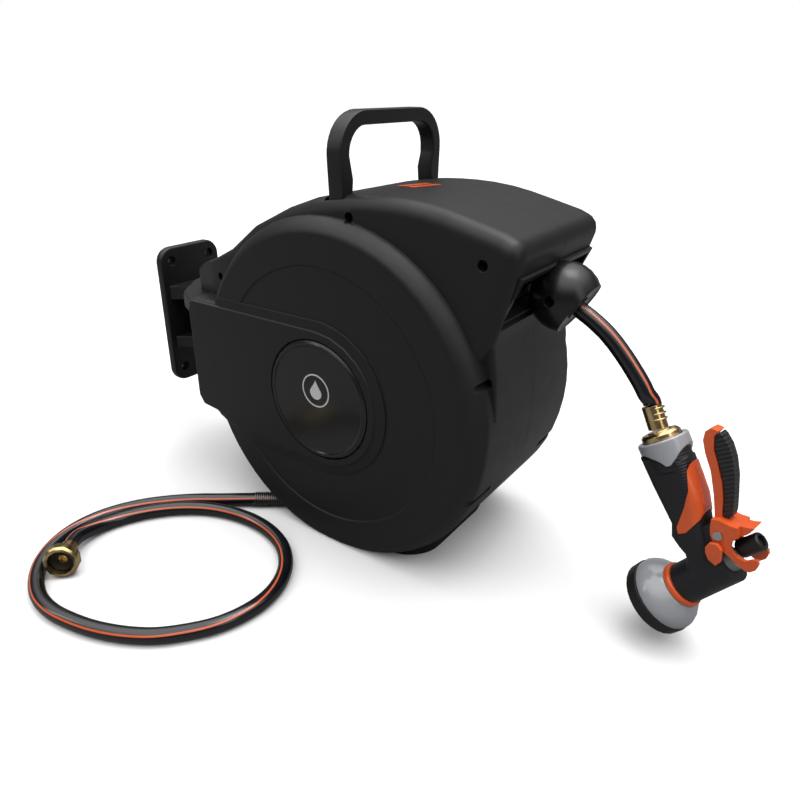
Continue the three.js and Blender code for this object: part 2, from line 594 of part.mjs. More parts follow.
const ferruleTop = V(-6.5, 0, 27.5);
nozzle.updateMatrixWorld(true);
const toReel = (v) => v.clone().multiplyScalar(nozzleSize).applyEuler(nozzle.rotation).add(nozzle.position);
const ferruleWay = V(4.9, 0, -21.5).normalize();
for (const up of [4, 0.4]) outHose.push(toReel(ferruleTop.clone().addScaledVector(ferruleWay, -up)).toArray());
part('outlet_hose', hose(outHose, hoseRadius, 22), 'hoseSkin', reel);

nozzlePart('nozzle_ferrule', rod(ferruleTop.toArray(), [-1.6, 0, 6], 9.2, 20), 'brass');
const gripWay = [-0.33, 0, 0.944];
nozzlePart('nozzle_nut', turned([[0, -6], [17.5, -6], [18.3, -4.5], [18.3, 1], [16, 3.4], [11, 3.4], [11, 4.4],
  [0, 4.4]], 12, [0, 0, 0], gripWay), 'brass');

const collarShape = outline([[-40, 30], [40, 45], [40, 5], [33, 1], [27, -4], [23, -10], [20, -16.5], [16.5, -22],
  [13, -23], [8.5, -19.5], [3, -17.5], [-4, -16], [-10, -16.5], [-16, -20], [-40, -30]]);
const collarTube = cut(turned([[0, -40], [22, -40], [23.6, -10], [23.6, -4.5], [22.4, -3.2], [0, -3.2]], 24,
  [0, 0, 0], gripWay), turned([[0, -60], [20.3, -60], [20.3, -6.6], [0, -6.6]], 24, [0, 0, 0], gripWay),
  turned([[0, -20], [18.8, -20], [18.8, 20], [0, 20]], 24, [0, 0, 0], gripWay));
nozzlePart('nozzle_collar', common(collarTube, thickY(collarShape, -40, 40)), 'grey');

const bodyShape = outline([
  [-7, -25], [0, -43], [8, -62], [15.5, -80], [14.4, -92], [19, -99], [25, -106], [27, -115], [25, -122],
  [22, -134], [30, -134], [36, -122], [37, -110], [34, -102], [30.5, -94], [29.5, -84], [28.5, -71],
  [27.4, -55], [23.6, -40], [19.2, -24], [8, -21],
]);
const gripShape = (room) => thickY(bodyShape, -17 - room, 17 + room, 9 + room, 13, 4);
const gripBody = gripShape(0);
const pivotLug = thickY(outline([[30, -79.5], [51, -79.5], [55, -82], [55, -87], [50, -95], [44, -99.5],
  [30, -99.5]]), -11.6, 11.6);
const core = turned([[0, -32], [19.7, -32], [19.9, -7], [0, -7]], 24, [0, 0, 0], gripWay);
const barrel = rod([11.2, 0, -144.8], [53.5, 0, -113], 19, 22);
const collarSpace = common(cut(turned([[0, -60], [26, -60], [26, 0], [0, 0]], 24, [0, 0, 0], gripWay),
  turned([[0, -70], [19.9, -70], [19.9, 10], [0, 10]], 24, [0, 0, 0], gripWay)),
  thickY(collarShape, -40, 40, 0.4, 0.4, 1));
const inlayShape = outline([[29, -21], [27.5, -28], [28.6, -45.5], [23.7, -61.8], [15.2, -82.2], [16.3, -88],
  [23.2, -86], [35.6, -72.6], [38, -66], [36, -47], [33, -30]]);
const inlayHole = thickY(inlayShape, -30, 30, 0.35, 1, 1);
const capShape = outline([[41, -95], [44.5, -91], [50.5, -90.5], [53.8, -95.5], [52, -106.5], [48, -110.5],
  [42.5, -106], [40.6, -100]]);
const [pinX, pinZ] = [50.5, -84];             // lever's pin
nozzlePart('nozzle_body', cut(join(gripBody, pivotLug, core, barrel), collarSpace, inlayHole,
  rod([pinX, -30, pinZ], [pinX, 30, pinZ], 2.6, 12), rod([45, 0, -119.6], [70, 0, -100.8], 10.4, 16),
  thickY(capShape, -40, -14.9, 1, 1, 1)), 'rubber');
nozzlePart('grip_inlay', common(gripShape(0.8), thickY(inlayShape, -40, 40)), 'orange');
nozzlePart('barrel_cap', join(rod([46, 0, -118.8], [59.2, 0, -108.9], 10, 20),
  rod([54, 0, -105.36], [66, 0, -98.4], 3, 12)), 'grey');

const armShape = outline([[49, 11], [43.5, 8], [41, 0], [42, -12], [45.5, -28], [46.5, -50], [46, -66],
  [45.5, -76], [52.5, -76], [52, -68], [54, -52], [54, -38], [51.5, -20], [49.3, -8], [50.5, 4], [54.6, 8.6]]);
const cheekShape = outline([[44, -78], [45.5, -70], [52, -70], [60, -73.4], [66, -74.6], [73, -75.4], [79, -75],
  [75, -79.6], [71, -82.4], [65.2, -84.7], [61.5, -88.5], [60.5, -93.4], [62, -98], [66, -102.5], [71.9, -104.2],
  [77, -102], [81.5, -101.5], [81.5, -106], [79, -110.5], [74, -113.4], [70, -112.5], [64, -108], [57.2, -101.8],
  [50, -96], [45.5, -91], [43.5, -85]]);
const lever = new THREE.Group();
nozzle.add(lever);
const leverArm = thickY(armShape, -7.4, 7.4, 0, 0, 1);
const cheeks = cut(thickY(cheekShape, -14.8, 14.8), boxBetween([20, -12.1, -130], [64.4, 12.1, -76.4]),
  boxBetween([64, -10.6, -130], [97, 10.6, -87.6]), boxBetween([67, 9, -88], [97, 20, -60]),
  boxBetween([67, -20, -88], [97, -9, -60]));
nozzlePart('trigger_lever', cut(join(leverArm, cheeks), rod([pinX, -30, pinZ], [pinX, 30, pinZ], 2.6, 12)),
  'orange', lever);
const padShape = outline([[51.3, 3.5], [50, -8], [52.2, -20], [54.7, -38], [54.7, -52], [52.7, -66], [52.9, -69.4],
  [59.6, -69.4], [61.4, -64], [63.2, -50], [65, -32], [64.5, -16], [62, -4], [58, 4.5], [55.3, 7.5]]);
nozzlePart('lever_pad', thickY(padShape, -6.5, 6.5), 'rubber', lever);
nozzlePart('lever_pin', join(rod([pinX, -16.6, pinZ], [pinX, 16.6, pinZ], 2.2, 12),
  rod([pinX, -17.2, pinZ], [pinX, -15.2, pinZ], 4.2, 14)), 'steel');
nozzlePart('valve_pin_cap', thickY(capShape, -20.6, -15.4, 0.6, 0.6, 1), 'orange');
const knobWay = V(20, 0, 12.6).normalize().toArray();
nozzlePart('flow_knob', turned([[3.4, 0], [7, 0], [8.2, 1.5], [8.2, 21.5], [7.2, 22.6], [5.2, 22.6], [5.2, 18], [0, 18],
  [0, 6], [3.4, 6], [3.4, 0]], 16, [62.2, 0, -100.6], knobWay), 'black');

const sprayWay = [-0.8, 0, -0.6];
const headAt = [9.6, 0, -146];
nozzlePart('head_ring', turned([[0, -1], [20.4, -1], [21.6, 1], [21.6, 4.4], [0, 4.4]], 32, headAt, sprayWay),
  'orange');
const headProfile = [[0, 4.8], [21.5, 4.8], [24, 7], [28, 11], [32, 16], [34.4, 21.5], [34.6, 27], [30, 27], [30, 22],
  [26, 14], [0, 14]];
nozzlePart('head_dial', turned(headProfile, 28, headAt, sprayWay), 'grey');
nozzlePart('face_ring', turned([[30.6, 27.4], [35.4, 27.4], [35.6, 30], [35.2, 39], [33.4, 41], [30.6, 41],
  [30.6, 27.4]], 28, headAt, sprayWay), 'rubber');
const jets = [];
for (let i = 0; i < 8; i += 1) {
  const a = (i / 8) * Math.PI * 2;
  jets.push([20 * Math.cos(a), 20 * Math.sin(a)]);
}
const plateLocal = jets.map(([x, z]) => rod([x, -60, z], [x, 60, z], 3, 6));
const plate = cut(turned([[0, 14.6], [25.4, 14.6], [29.4, 22.6], [29.4, 37], [0, 37]], 28), ...plateLocal);
const facing = new THREE.Quaternion().setFromUnitVectors(V(0, 1, 0), V(...sprayWay));
const plateGeometry = toGeometry(plate);
plateGeometry.applyQuaternion(facing);
nozzlePart('spray_plate', plateGeometry.translate(...headAt), 'black');

// ---- wall bracket -------------------------------------------------------------------------
function bracketSolid() {
  const plateShape = roundedRect(-plateHalf, plateBottom, plateHalf, plateTop, 20);
  const board = thickX(plateShape, plateX - plateThick, plateX, 3.5, 4);
  const lugPlan = [[plateX - 4, 43], [plateX + 4, 38], [plateX + 16, 27], [pivotX - 12, 15.5], [pivotX, 16],
    [pivotX + 10, 12.5], [pivotX + 15, 5]];
  const lugs = [[32, 51], [-39, -22]].map(([z0, z1]) => thickZ(bothSides(lugPlan), z0, z1, 1.5));
  const web = boxBetween([plateX - 4, -9, -30], [pivotX - 9, 9, 40]);
  const tube = rod([pivotX, 0, -30], [pivotX, 0, 40], 14, 20);
  const holes = [[-32, 85], [32, 85], [-32, -70], [32, -70]].map(([y, z]) => join(
    rod([plateX - 30, y, z], [plateX + 10, y, z], 3.2, 8), rod([plateX - 4.5, y, z], [plateX + 10, y, z], 6.6, 12)));
  return cut(join(board, ...lugs, web, tube), rod([pivotX, 0, -100], [pivotX, 0, 100], pinRadius + gap, 16), ...holes);
}
part('wall_bracket', bracketSolid(), 'black', reel);
part('pivot_pin', join(rod([pivotX, 0, -60], [pivotX, 0, 73], pinRadius, 16),
  rod([pivotX, 0, 72.4], [pivotX, 0, 76], 9, 16)), 'steel', reel);

export default group;
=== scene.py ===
import json
import math
import bpy
import bmesh
from mathutils import Euler, Matrix, Vector

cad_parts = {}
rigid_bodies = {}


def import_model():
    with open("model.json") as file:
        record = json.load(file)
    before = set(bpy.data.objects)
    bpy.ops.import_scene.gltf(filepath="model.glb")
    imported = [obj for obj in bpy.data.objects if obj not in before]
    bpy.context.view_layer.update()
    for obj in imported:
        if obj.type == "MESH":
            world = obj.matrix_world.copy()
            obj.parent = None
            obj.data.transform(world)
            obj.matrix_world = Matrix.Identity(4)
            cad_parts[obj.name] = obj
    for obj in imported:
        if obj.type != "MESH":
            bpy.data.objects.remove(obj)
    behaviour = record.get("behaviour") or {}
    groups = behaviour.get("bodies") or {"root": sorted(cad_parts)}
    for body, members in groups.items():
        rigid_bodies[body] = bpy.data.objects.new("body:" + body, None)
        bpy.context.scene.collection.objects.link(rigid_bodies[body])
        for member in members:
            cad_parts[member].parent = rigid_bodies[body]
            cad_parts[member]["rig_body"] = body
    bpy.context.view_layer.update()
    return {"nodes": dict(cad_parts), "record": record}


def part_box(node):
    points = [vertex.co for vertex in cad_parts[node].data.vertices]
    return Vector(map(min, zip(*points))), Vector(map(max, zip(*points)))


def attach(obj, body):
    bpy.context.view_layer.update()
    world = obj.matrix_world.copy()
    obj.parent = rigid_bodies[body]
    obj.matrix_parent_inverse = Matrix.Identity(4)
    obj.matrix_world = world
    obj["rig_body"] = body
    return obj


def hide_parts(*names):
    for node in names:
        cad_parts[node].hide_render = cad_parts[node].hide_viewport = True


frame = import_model()
scene = bpy.context.scene
nodes = frame["nodes"]
axleLow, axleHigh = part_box("main_axle")
reelX = (axleLow.x + axleHigh.x) / 2          # the spool axis gives the reel its place
reelZ = (axleLow.z + axleHigh.z) / 2
print("frame loaded,", len(nodes), "nodes")


def at(x, y, z):                              # millimetres from the spool axis
    return Vector((reelX + x * 0.001, y * 0.001, reelZ + z * 0.001))


# camera
cameraSet = {"eye": (437.6, -577.4, 303.7), "azimuth": 36.7, "elevation": 23.63,
             "lens": 30.06, "shift": (0.0154, -0.0269)}
camera = bpy.data.objects.new("view_camera", bpy.data.cameras.new("view_camera"))
camera.data.sensor_width = 36
camera.data.lens = cameraSet["lens"]
camera.data.shift_x, camera.data.shift_y = cameraSet["shift"]
camera.location = at(*cameraSet["eye"])
camera.rotation_euler = (math.radians(90 - cameraSet["elevation"]), 0, math.radians(cameraSet["azimuth"]))
scene.collection.objects.link(camera)
scene.camera = camera
scene.view_settings.view_transform = "Standard"


# finishes: each one is built from noise on object coordinates
def newFinish(name):
    material = bpy.data.materials.new(name)
    material.use_nodes = True
    tree = material.node_tree
    shader = tree.nodes["Principled BSDF"]
    return material, tree, shader


def addNode(tree, kind, **settings):
    node = tree.nodes.new(kind)
    for key, value in settings.items():
        if key in node.inputs:
            node.inputs[key].default_value = value
        else:
            setattr(node, key, value)
    return node


def grain(tree, scale, detail=3.0, squeeze=(1, 1, 1), roughness=0.5):
    where = addNode(tree, "ShaderNodeTexCoord")
    mapping = addNode(tree, "ShaderNodeMapping")
    mapping.inputs["Scale"].default_value = squeeze
    noise = addNode(tree, "ShaderNodeTexNoise", Scale=scale, Detail=detail, Roughness=roughness)
    tree.links.new(where.outputs["Object"], mapping.inputs["Vector"])
    tree.links.new(mapping.outputs["Vector"], noise.inputs["Vector"])
    return noise.outputs["Fac"]


def spread(tree, value, low, high, start=0.3, end=0.7):
    node = addNode(tree, "ShaderNodeMapRange")
    tree.links.new(value, node.inputs["Value"])
    node.inputs["From Min"].default_value = start
    node.inputs["From Max"].default_value = end
    node.inputs["To Min"].default_value = low
    node.inputs["To Max"].default_value = high
    return node.outputs["Result"]


mixFirst, mixSecond, mixResult = 6, 7, 2      # the mix node's colour sockets share their names with others


def tint(tree, value, first, second):
    node = addNode(tree, "ShaderNodeMix", data_type="RGBA")
    tree.links.new(value, node.inputs["Factor"])
    node.inputs[mixFirst].default_value = (*first, 1)
    node.inputs[mixSecond].default_value = (*second, 1)
    return node.outputs[mixResult]


def bump(tree, shader, height, strength, depth, under=None):
    node = addNode(tree, "ShaderNodeBump", Strength=strength, Distance=depth)
    tree.links.new(height, node.inputs["Height"])
    if under is not None:
        tree.links.new(under, node.inputs["Normal"])
    tree.links.new(node.outputs["Normal"], shader.inputs["Normal"])
    return node.outputs["Normal"]


def makeFinish(name, dark, light, rough, grainScale=900, grainDepth=0.00008, metal=0.0, coat=0.0,
               coatRough=0.1, specular=0.5, squeeze=(1, 1, 1), cloudScale=14, strength=0.5, edge=0.0):
    material, tree, shader = newFinish(name)
    shader.inputs["Metallic"].default_value = metal
    shader.inputs["Coat Weight"].default_value = coat
    shader.inputs["Coat Roughness"].default_value = coatRough
    shader.inputs["Specular IOR Level"].default_value = specular
    cloud = grain(tree, cloudScale, 4.0)
    tree.links.new(tint(tree, spread(tree, cloud, 0, 1), dark, light), shader.inputs["Base Color"])
    fine = grain(tree, grainScale, 2.0, squeeze)
    smear = grain(tree, cloudScale * 4, 5.0)
    tree.links.new(spread(tree, smear, rough[0], rough[1]), shader.inputs["Roughness"])
    under = None
    if edge > 0:                              # softly rounded edges
        under = addNode(tree, "ShaderNodeBevel", samples=4, Radius=edge).outputs["Normal"]
    bump(tree, shader, fine, strength, grainDepth, under)
    return material


def ribs(material, way, pitch, depth, span=None):      # fine parallel ribs across one direction
    tree = material.node_tree
    shader = tree.nodes["Principled BSDF"]
    where = addNode(tree, "ShaderNodeTexCoord")
    along = addNode(tree, "ShaderNodeVectorMath", operation="DOT_PRODUCT")
    tree.links.new(where.outputs["Object"], along.inputs[0])
    along.inputs[1].default_value = tuple(way)
    turns = addNode(tree, "ShaderNodeMath", operation="MULTIPLY")
    tree.links.new(along.outputs["Value"], turns.inputs[0])
    turns.inputs[1].default_value = 2 * math.pi / pitch
    wave = addNode(tree, "ShaderNodeMath", operation="SINE")
    tree.links.new(turns.outputs[0], wave.inputs[0])
    height = wave.outputs[0]
    if span:                                  # ribs fade in between these two places
        mask = spread(tree, along.outputs["Value"], 0, 1, *span)
        held = addNode(tree, "ShaderNodeMath", operation="MULTIPLY")
        tree.links.new(height, held.inputs[0])
        tree.links.new(mask, held.inputs[1])
        height = held.outputs[0]
    under = shader.inputs["Normal"].links[0].from_socket
    bump(tree, shader, height, 0.6, depth, under)
    return material


finishes = {
    "case_shell": makeFinish("moulded charcoal", (0.0085, 0.0086, 0.0091), (0.0092, 0.0094, 0.0099),
                             (0.42, 0.47), grainScale=1500, grainDepth=0.00006, edge=0.0012, specular=0.38),
    "black_satin": makeFinish("satin black", (0.0065, 0.0065, 0.007), (0.0085, 0.0085, 0.009), (0.36, 0.44),
                              grainScale=1600, grainDepth=0.00004, edge=0.0008, specular=0.45),
    "hub_gloss": makeFinish("polished black", (0.0080, 0.0078, 0.0080), (0.0090, 0.0088, 0.0090),
                            (0.16, 0.22), grainScale=500, grainDepth=0.000004),
    "zinc_steel": makeFinish("zinc steel", (0.45, 0.46, 0.47), (0.60, 0.61, 0.62), (0.28, 0.42), metal=1.0,
                             grainScale=2200, grainDepth=0.00002),
    "spring_steel": makeFinish("spring steel", (0.16, 0.165, 0.17), (0.28, 0.285, 0.29), (0.22, 0.34),
                               metal=1.0, grainScale=2200, grainDepth=0.00002),
    "ball_rubber": makeFinish("ball rubber", (0.0045, 0.0045, 0.0050), (0.0065, 0.0065, 0.007),
                              (0.26, 0.36), grainScale=1100, grainDepth=0.00004, edge=0.0008),
    "inner_plastic": makeFinish("inner grey plastic", (0.18, 0.185, 0.19), (0.24, 0.245, 0.25), (0.45, 0.6)),
    "bush_plastic": makeFinish("bush plastic", (0.35, 0.35, 0.36), (0.42, 0.42, 0.43), (0.4, 0.5)),
    "brass": makeFinish("machined brass", (0.50, 0.34, 0.13), (0.74, 0.57, 0.30), (0.14, 0.26), metal=1.0,
                        grainScale=1400, grainDepth=0.00003, cloudScale=90),
    "seal_rubber": makeFinish("matt seal rubber", (0.0045, 0.0045, 0.005), (0.007, 0.007, 0.0075),
                              (0.42, 0.55), grainScale=1300, grainDepth=0.00005),
    "nozzle_grey": makeFinish("smooth grey plastic", (0.30, 0.31, 0.33), (0.33, 0.34, 0.36), (0.16, 0.24),
                              grainScale=700, grainDepth=0.00001, coat=0.5),
    "grip_rubber": makeFinish("grip rubber", (0.0060, 0.0065, 0.0085), (0.0085, 0.009, 0.0115), (0.46, 0.56),
                              grainScale=1500, grainDepth=0.00008),
    "orange_plastic": makeFinish("orange plastic", (0.66, 0.090, 0.018), (0.72, 0.110, 0.024), (0.24, 0.34),
                                 grainScale=700, grainDepth=0.00002, coat=0.3),
}


# hose skin: one thin orange line along it, and fine rings pressed in
skinSet = {"line": 0.020, "orange": (0.60, 0.105, 0.035), "ringPitch": 0.0024, "ringDepth": 0.00004}


def hoseFinish(name):
    material, tree, shader = newFinish(name)
    shader.inputs["Coat Weight"].default_value = 0.4
    shader.inputs["Coat Roughness"].default_value = 0.08
    where = addNode(tree, "ShaderNodeUVMap", uv_map="UVMap")
    split = addNode(tree, "ShaderNodeSeparateXYZ")
    tree.links.new(where.outputs["UV"], split.inputs["Vector"])
    around = split.outputs["Y"]
    shifted = addNode(tree, "ShaderNodeMath", operation="SUBTRACT")
    tree.links.new(around, shifted.inputs[0])
    shifted.inputs[1].default_value = 0.5
    off = addNode(tree, "ShaderNodeMath", operation="ABSOLUTE")
    tree.links.new(shifted.outputs[0], off.inputs[0])
    mask = spread(tree, off.outputs[0], 1, 0, skinSet["line"] * 0.8, skinSet["line"] * 1.2)
    dirt = grain(tree, 60, 4.0)
    dark = tint(tree, spread(tree, dirt, 0, 1), (0.0038, 0.0042, 0.0062), (0.0055, 0.006, 0.0085))
    node = addNode(tree, "ShaderNodeMix", data_type="RGBA")
    tree.links.new(mask, node.inputs["Factor"])
    tree.links.new(dark, node.inputs[mixFirst])
    node.inputs[mixSecond].default_value = (*skinSet["orange"], 1)
    tree.links.new(node.outputs[mixResult], shader.inputs["Base Color"])
    tree.links.new(spread(tree, dirt, 0.14, 0.24), shader.inputs["Roughness"])
    rings = addNode(tree, "ShaderNodeMath", operation="SINE")
    scaled = addNode(tree, "ShaderNodeMath", operation="MULTIPLY")
    tree.links.new(split.outputs["X"], scaled.inputs[0])
    scaled.inputs[1].default_value = 2 * math.pi / skinSet["ringPitch"]
    tree.links.new(scaled.outputs[0], rings.inputs[0])
    bump(tree, shader, rings.outputs[0], 0.25, skinSet["ringDepth"])
    return material


finishes["hose_skin"] = hoseFinish("hose skin")
finishes["white_print"] = makeFinish("white print", (0.62, 0.62, 0.62), (0.66, 0.66, 0.66), (0.4, 0.5))
print("finishes ready,", len(finishes))


# hoses
def route(points, step=0.003):                # one smooth line through listed points
    ends = [2 * points[0] - points[1]] + points + [2 * points[-1] - points[-2]]
    line = []
    for a, b, c, d in zip(ends, ends[1:], ends[2:], ends[3:]):
        t1 = (b - a).length ** 0.5
        t2 = t1 + (c - b).length ** 0.5
        t3 = t2 + (d - c).length ** 0.5
        count = max(2, round((c - b).length / step))
        for i in range(count):
            t = t1 + (t2 - t1) * i / count
            a1 = a * ((t1 - t) / t1) + b * (t / t1)
            a2 = b * ((t2 - t) / (t2 - t1)) + c * ((t - t1) / (t2 - t1))
            a3 = c * ((t3 - t) / (t3 - t2)) + d * ((t - t2) / (t3 - t2))
            b1 = a1 * ((t2 - t) / t2) + a2 * (t / t2)
            b2 = a2 * ((t3 - t) / (t3 - t1)) + a3 * ((t - t1) / (t3 - t1))
            line.append(b1 * ((t2 - t) / (t2 - t1)) + b2 * ((t - t1) / (t2 - t1)))
    return line + [points[-1]]


def tubeAlong(name, line, radius, tilt=0.0, sides=10):
    data = bpy.data.curves.new(name, "CURVE")
    data.dimensions = "3D"
    data.bevel_depth = radius
    data.bevel_resolution = sides
    data.use_fill_caps = True
    data.twist_mode = "MINIMUM"
    spline = data.splines.new("POLY")
    spline.points.add(len(line) - 1)
    for point, place in zip(spline.points, line):
        point.co = (*place, 1)
        point.tilt = tilt
    holder = bpy.data.objects.new(name + "_line", data)
    scene.collection.objects.link(holder)
    bpy.context.view_layer.update()
    mesh = bpy.data.meshes.new_from_object(holder.evaluated_get(bpy.context.evaluated_depsgraph_get()))
    bpy.data.objects.remove(holder)
    mesh.name = name
    for face in mesh.polygons:
        face.use_smooth = len(face.vertices) == 4
    piece = bpy.data.objects.new(name, mesh)
    scene.collection.objects.link(piece)
    return piece


def wrap(piece, line, toward):                # length along and turn around the line, as the piece's own UV
    mesh = piece.data
    ring = len(mesh.vertices) // len(line)
    frames = []
    run = 0.0
    for i, spot in enumerate(line):
        run += (spot - line[i - 1]).length if i else 0.0
        way = (line[min(i + 1, len(line) - 1)] - line[max(i - 1, 0)]).normalized()
        front = (toward - way * toward.dot(way)).normalized()
        frames.append((spot, front, way.cross(front), run))
    layer = mesh.uv_layers.get("UVMap") or mesh.uv_layers.new(name="UVMap")
    for face in mesh.polygons:
        values = []
        for corner in face.loop_indices:
            index = mesh.loops[corner].vertex_index
            spot, front, side, run = frames[min(index // ring, len(line) - 1)]
            off = mesh.vertices[index].co - spot
            values.append([run, 0.5 + math.atan2(off.dot(side), off.dot(front)) / (2 * math.pi)])
        if max(v[1] for v in values) - min(v[1] for v in values) > 0.5:
            for value in values:
                value[1] += 1.0 if value[1] < 0.5 else 0.0
        for corner, value in zip(face.loop_indices, values):
            layer.data[corner].uv = value
    return piece


def lengthOf(line):
    return sum((b - a).length for a, b in zip(line, line[1:]))


def dress(piece, body, slotName, *replaced):
    piece.data.materials.clear()
    piece.data.materials.append(finishes[slotName])
    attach(piece, body)
    if replaced:
        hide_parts(*replaced)
    return piece


hoseSet = {"radius": 8.0, "floor": -170.3, "ballAt": (212.3, 0, 125.3), "ballTilt": 32, "ballCut": 17.5}
tilt = math.radians(hoseSet["ballTilt"])


def ballPoint(along):
    x, y, z = hoseSet["ballAt"]
    return (x + along * math.cos(tilt), y, z - along * math.sin(tilt))


nozzleSet = {"place": (318.8, -10.7, 19.4), "turn": (-6.7, -15.8, -9.9), "size": 0.96}
nozzleTurn = Euler([math.radians(a) for a in nozzleSet["turn"]], "XYZ").to_matrix()
gripUp = nozzleTurn @ Vector((-0.33, 0, 0.944))


def onNozzle(x, y, z):                        # from the nozzle's own upright frame
    local = Vector((x, y, z)) * nozzleSet["size"]
    return at(*(nozzleTurn @ local + Vector(nozzleSet["place"])))


# ribs across the grip's upper half and across the lever's pad
ribSet = {"gripPitch": 0.0026, "gripDepth": 0.00022, "padPitch": 0.0036, "padDepth": 0.0007}
ribSpan = [onNozzle(x, 0, z).dot(gripUp) for x, z in ((12, -80), (4, -66))]
ribs(finishes["grip_rubber"], gripUp, ribSet["gripPitch"], ribSet["gripDepth"], ribSpan)
finishes["ribbed_pad"] = ribs(makeFinish("ribbed pad", (0.0060, 0.0065, 0.0085), (0.0085, 0.009, 0.0115),
                                         (0.44, 0.54), grainScale=1500, grainDepth=0.00006),
                              gripUp, ribSet["padPitch"], ribSet["padDepth"])

# routes, in millimetres from the spool axis
inletStart, inletWay = Vector((-69, -76.5, -169)), Vector((-0.8, -0.6, 0))
low = hoseSet["floor"]
nutWay = Vector((0.69, -0.71, 0.1)).normalized()
nutStart = Vector((-202.6, -305.4, low + 8.4))
leadInPoints = [inletStart + far * inletWay for far in (20, 40, 60.5)] + [Vector(p) for p in [
    (-150, -136, low), (-176, -156, low), (-199, -178, low), (-218, -201, low), (-232, -226, low),
    (-240, -253, low), (-240, -282, low), (-230, -311, low), (-212, -335, low), (-187, -353, low),
    (-160, -363, low), (-133, -365, low), (-106, -361, low), (-77, -353, low), (-48, -340, low),
    (-24, -324, low), (-5, -304, low), (11, -281, low), (20, -257, low), (23, -231, low), (18, -205, low),
    (4, -180, low), (-20, -159, low), (-49, -147, low), (-82, -143, low), (-115, -147, low),
    (-146, -158, low), (-172, -175, low), (-193, -196, low), (-209, -220, low), (-219, -246, low + 0.5),
    (-220.5, -269, low + 3), (-216, -288, low + 6)]] + [nutStart - 9 * nutWay, nutStart]
leadInLine = route([at(*p) for p in leadInPoints])
outletPoints = [ballPoint(hoseSet["ballCut"] + 0.2), ballPoint(hoseSet["ballCut"] + 4.5), (238, -0.3, 110.1),
                (246, -0.9, 105.5), (254.6, -1.6, 99.9), (263, -2.3, 93.1), (270.6, -3, 86), (277.6, -3.8, 79),
                (284, -4.5, 72), (290, -5.2, 65.2), (295.4, -5.9, 58.6), (299.9, -6.4, 52.2)]
ferruleTop, ferruleWay = Vector((-6.5, 0, 27.5)), Vector((4.9, 0, -21.5)).normalized()
outletEnd = [onNozzle(*(ferruleTop - up * ferruleWay)) for up in (4, 0.4)]
outletLine = route([at(*p) for p in outletPoints] + outletEnd)
innerPoints = [(4, 0, 142.6), (60, 0, 146), (110, 0, 150), (142, 0, 150.5), (163, 0, 146.2), (178.8, 0, 139.7),
               (195, 0, 132.6), ballPoint(0), ballPoint(9), ballPoint(hoseSet["ballCut"] - 0.2)]
innerLine = route([at(*p) for p in innerPoints])
radius = hoseSet["radius"] * 0.001

# which way the printed line faces on each hose
lineSet = {"leadIn": (0.30, -0.72, 0.62), "outlet": (0.7475, -0.58575, 0.4), "inner": (0, -1, 0)}
leadIn = wrap(tubeAlong("lead_in_hose_skin", leadInLine, radius), leadInLine, Vector(lineSet["leadIn"]))
dress(leadIn, "case", "hose_skin", "lead_in_hose")
outletHose = wrap(tubeAlong("outlet_hose_skin", outletLine, radius), outletLine, Vector(lineSet["outlet"]))
dress(outletHose, "case", "hose_skin", "outlet_hose")
innerHose = wrap(tubeAlong("inner_hose_skin", innerLine, radius), innerLine, Vector(lineSet["inner"]))
dress(innerHose, "case", "hose_skin", "inner_hose")
print("hoses", round(lengthOf(leadInLine), 3), round(lengthOf(outletLine), 3), round(lengthOf(innerLine), 3))

# spring guard on the lead-in hose
guardSet = {"wire": 0.8, "radius": 8.6, "turns": 15, "start": 20, "length": 40, "inset": 0.9, "perTurn": 16}
sideWay, upWay = Vector((0.6, -0.8, 0)), Vector((0, 0, 1))
coilSteps = guardSet["turns"] * guardSet["perTurn"]
coilLength = guardSet["length"] - 2 * guardSet["inset"]
coil = []
for i in range(coilSteps + 1):
    turn = i / guardSet["perTurn"] * 2 * math.pi
    spot = inletStart + inletWay * (guardSet["start"] + guardSet["inset"] + coilLength * i / coilSteps)
    spot = spot + guardSet["radius"] * (math.cos(turn) * sideWay + math.sin(turn) * upWay)
    coil.append(at(*spot))
dress(tubeAlong("guard_coil", coil, guardSet["wire"] * 0.001, sides=3), "case", "spring_steel", "guard_spring")


# pieces whose shape is the frame's own, with their edges rounded and their faces made smooth
edgeSet = {"weld": 2e-6, "flat": 0.4, "corner": 32, "segments": 2, "sharp": 42}      # angles in degrees


def softened(node, width):                    # width in millimetres
    bm = bmesh.new()
    bm.from_mesh(nodes[node].data)
    bmesh.ops.remove_doubles(bm, verts=bm.verts, dist=edgeSet["weld"])
    bmesh.ops.dissolve_limit(bm, angle_limit=math.radians(edgeSet["flat"]), verts=bm.verts, edges=bm.edges)
    corner = math.radians(edgeSet["corner"])
    edges = [e for e in bm.edges if e.is_manifold and e.calc_face_angle(0) > corner]
    bmesh.ops.bevel(bm, geom=edges, offset=width * 0.001, offset_type="OFFSET", profile=0.5,
                    segments=edgeSet["segments"], affect="EDGES", clamp_overlap=True, material=-1)
    for face in bm.faces:
        face.smooth = True
    for edge in bm.edges:
        edge.smooth = not (edge.is_manifold and edge.calc_face_angle(0) > math.radians(edgeSet["sharp"]))
    mesh = bpy.data.meshes.new(node + "_shaped")
    bm.to_mesh(mesh)
    bm.free()
    piece = bpy.data.objects.new(node + "_shaped", mesh)
    scene.collection.objects.link(piece)
    piece.modifiers.new("even normals", "WEIGHTED_NORMAL").keep_sharp = True
    return dress(piece, nodes[node]["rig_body"], slotOf[node], node)


